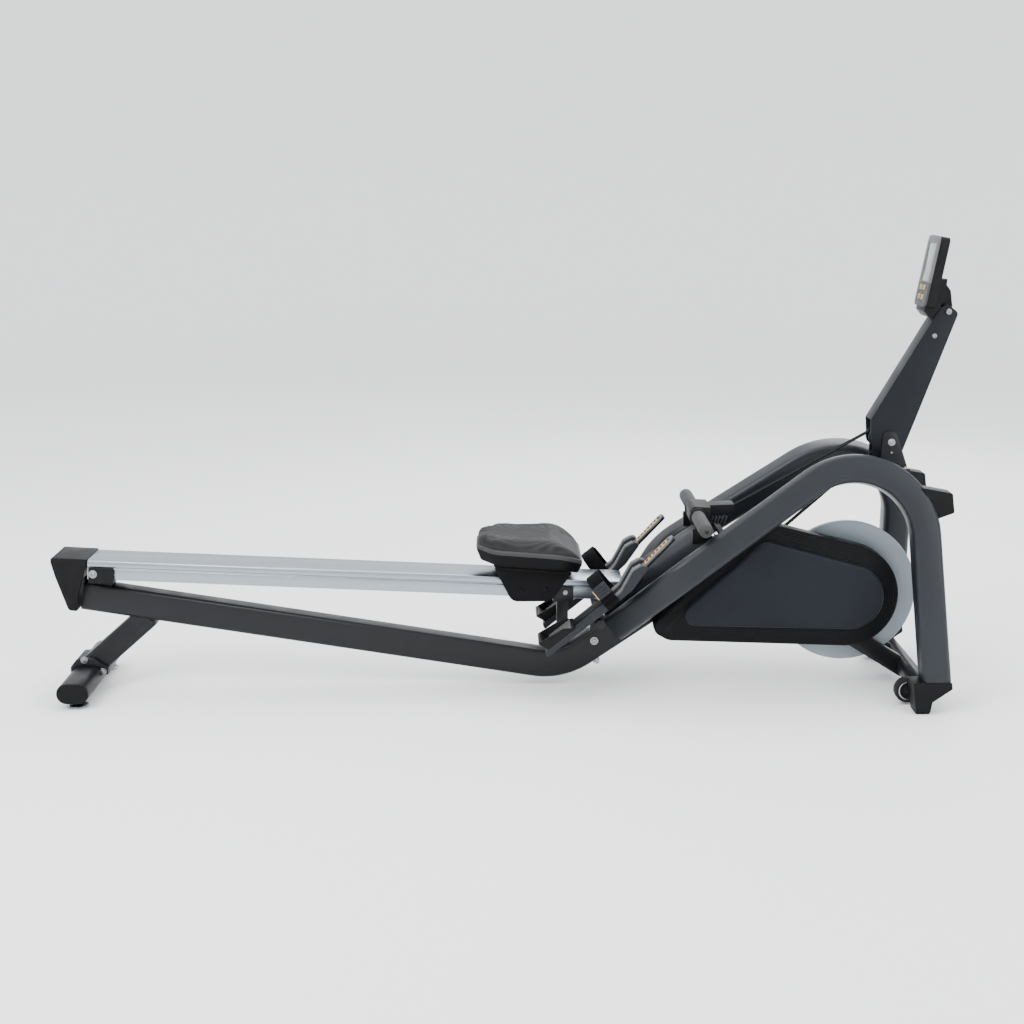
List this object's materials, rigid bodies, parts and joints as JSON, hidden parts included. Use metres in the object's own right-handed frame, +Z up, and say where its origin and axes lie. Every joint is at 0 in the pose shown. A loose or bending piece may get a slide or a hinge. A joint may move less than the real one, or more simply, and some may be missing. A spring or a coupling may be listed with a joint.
{
  "type": "rowing machine",
  "caption": "Indoor rowing machine with a magnetic flywheel, strap-pulled handle, sliding seat on an aluminium rail, footrests and a console on a mast.",
  "frame": {"origin": "on the floor under the middle of the machine", "axes": "+X from the rear foot to the flywheel, +Y to the far side, +Z up"},
  "size_m": [2.186, 0.5386, 1.0999],
  "materials": {
    "black_paint": "satin black powder coat",
    "dark_paint": "satin dark grey powder coat",
    "rail_aluminium": "clear anodised extrusion",
    "flywheel_alloy": "fine turned satin",
    "black_plastic": "fine grained black",
    "dark_plastic": "fine grained dark grey",
    "console_plastic": "fine grained charcoal",
    "silver_plastic": "satin silver grey",
    "display": "grey-green liquid crystal window",
    "seat_rubber": "soft moulded with fine contour ribs",
    "grip_rubber": "soft moulded",
    "foot_rubber": "hard moulded",
    "black_rubber": "matt moulded",
    "wheel_rubber": "matt moulded",
    "steel": "turned",
    "chrome": "polished",
    "webbing": "woven polyester"
  },
  "bodies": {
    "frame": {"main_beam": "black_paint", "rail": "rail_aluminium", "rear_boot": "black_plastic", "rail_rear_bracket": "black_paint", "rail_front_bracket": "black_paint", "rear_strut": "black_paint", "rear_stabilizer": "dark_paint", "stabilizer_cap_near": "black_plastic", "stabilizer_cap_far": "black_plastic", "leveler_near": "chrome", "leveler_far": "chrome", "loop_near": "dark_paint", "loop_far": "dark_paint", "spine_cover": "dark_plastic", "shroud_near": "black_plastic", "shroud_far": "black_plastic", "fork_near": "black_paint", "fork_far": "black_paint", "front_cross_tube": "black_paint", "front_foot_near": "foot_rubber", "front_foot_far": "foot_rubber", "bumper_near": "black_plastic", "bumper_far": "black_plastic", "mast_bracket": "black_paint", "pulley_bracket": "black_paint", "mast": "dark_paint", "handle_rest": "black_plastic", "strap_lower": "webbing", "foot_crossbar": "black_paint", "footplate_near": "dark_plastic", "footplate_far": "dark_plastic", "foot_strap_near": "webbing", "foot_strap_far": "webbing", "magnet_brake": "black_plastic", "flywheel_axle": "steel", "drive_belt": "black_rubber", "strap_upper": "webbing"},
    "seat": {"seat_pad": "seat_rubber", "seat_carriage": "black_plastic"},
    "seat_roller_rear": {"seat_roller_rear": "steel"},
    "seat_roller_front": {"seat_roller_front": "steel"},
    "handle": {"handle_bar": "steel", "grip_near": "grip_rubber", "grip_far": "grip_rubber", "handle_sleeve": "black_rubber"},
    "strap_pulley": {"strap_pulley": "black_plastic"},
    "strap_drum": {"strap_drum": "steel"},
    "flywheel": {"flywheel": "flywheel_alloy"},
    "belt_pulley": {"belt_pulley": "black_plastic"},
    "wheel_near": {"transport_wheel_near": "wheel_rubber"},
    "wheel_far": {"transport_wheel_far": "wheel_rubber"},
    "console": {"console_housing": "console_plastic", "console_bezel": "silver_plastic", "display": "display"},
    "button_upper_near": {"button_upper_near": "silver_plastic"},
    "button_upper_far": {"button_upper_far": "silver_plastic"},
    "button_lower_near": {"button_lower_near": "silver_plastic"},
    "button_lower_far": {"button_lower_far": "silver_plastic"},
    "heel_slider_near": {"heel_slider_near": "black_plastic"},
    "heel_slider_far": {"heel_slider_far": "black_plastic"}
  },
  "joints": [
    {"name": "seat_slide", "type": "slide", "parent": "frame", "child": "seat", "axis": [-0.9988, 0, 0.0496], "range_m": [0, 0.9]},
    {"name": "seat_roller_rear_spin", "type": "hinge", "parent": "seat", "child": "seat_roller_rear", "pos_m": [0.03, 0, 0.30651], "axis": [0, 1, 0], "range_deg": [-3100, 3100]},
    {"name": "seat_roller_front_spin", "type": "hinge", "parent": "seat", "child": "seat_roller_front", "pos_m": [0.13, 0, 0.30154], "axis": [0, 1, 0], "range_deg": [-3100, 3100]},
    {"name": "handle_pull", "type": "slide", "parent": "frame", "child": "handle", "axis": [-0.9732, 0, 0.23], "range_m": [0, 1.1]},
    {"name": "strap_pulley_spin", "type": "hinge", "parent": "frame", "child": "strap_pulley", "pos_m": [0.92, 0, 0.62], "axis": [0, 1, 0], "range_deg": [-3200, 3200]},
    {"name": "strap_drum_spin", "type": "hinge", "parent": "frame", "child": "strap_drum", "pos_m": [0.655, 0, 0.306], "axis": [0, 1, 0], "range_deg": [-1800, 1800]},
    {"name": "flywheel_spin", "type": "hinge", "parent": "frame", "child": "flywheel", "pos_m": [0.845, 0, 0.242], "axis": [0, 1, 0], "continuous": true},
    {"name": "belt_pulley_spin", "type": "hinge", "parent": "frame", "child": "belt_pulley", "pos_m": [0.655, 0, 0.306], "axis": [0, 1, 0], "continuous": true},
    {"name": "wheel_near_spin", "type": "hinge", "parent": "frame", "child": "wheel_near", "pos_m": [0.972, -0.186, 0.036], "axis": [0, 1, 0], "continuous": true},
    {"name": "wheel_far_spin", "type": "hinge", "parent": "frame", "child": "wheel_far", "pos_m": [0.972, 0.186, 0.036], "axis": [0, 1, 0], "continuous": true},
    {"name": "console_tilt", "type": "hinge", "parent": "frame", "child": "console", "pos_m": [1.071, 0, 0.922], "axis": [0, 1, 0], "range_deg": [0, 20]},
    {"name": "press_upper_near", "type": "slide", "parent": "console", "child": "button_upper_near", "axis": [0.9836, 0, -0.1805], "range_m": [0, 0.0012], "stiffness_N_per_m": 1500},
    {"name": "press_upper_far", "type": "slide", "parent": "console", "child": "button_upper_far", "axis": [0.9836, 0, -0.1805], "range_m": [0, 0.0012], "stiffness_N_per_m": 1500},
    {"name": "press_lower_near", "type": "slide", "parent": "console", "child": "button_lower_near", "axis": [0.9836, 0, -0.1805], "range_m": [0, 0.0012], "stiffness_N_per_m": 1500},
    {"name": "press_lower_far", "type": "slide", "parent": "console", "child": "button_lower_far", "axis": [0.9836, 0, -0.1805], "range_m": [0, 0.0012], "stiffness_N_per_m": 1500},
    {"name": "heel_near_slide", "type": "slide", "parent": "frame", "child": "heel_slider_near", "axis": [0.7815, 0, 0.6239], "range_m": [-0.03, 0.03]},
    {"name": "heel_far_slide", "type": "slide", "parent": "frame", "child": "heel_slider_far", "axis": [0.7815, 0, 0.6239], "range_m": [-0.03, 0.03]}
  ],
  "couplings": [
    {"joint": "seat_roller_rear_spin", "follows": "seat_slide", "rad_per_m": -58.824},
    {"joint": "seat_roller_front_spin", "follows": "seat_slide", "rad_per_m": -58.824},
    {"joint": "strap_pulley_spin", "follows": "handle_pull", "rad_per_m": -48.781},
    {"joint": "strap_drum_spin", "follows": "handle_pull", "rad_per_m": 26.385},
    {"joint": "belt_pulley_spin", "follows": "flywheel_spin", "ratio": 0.47826}
  ]
}
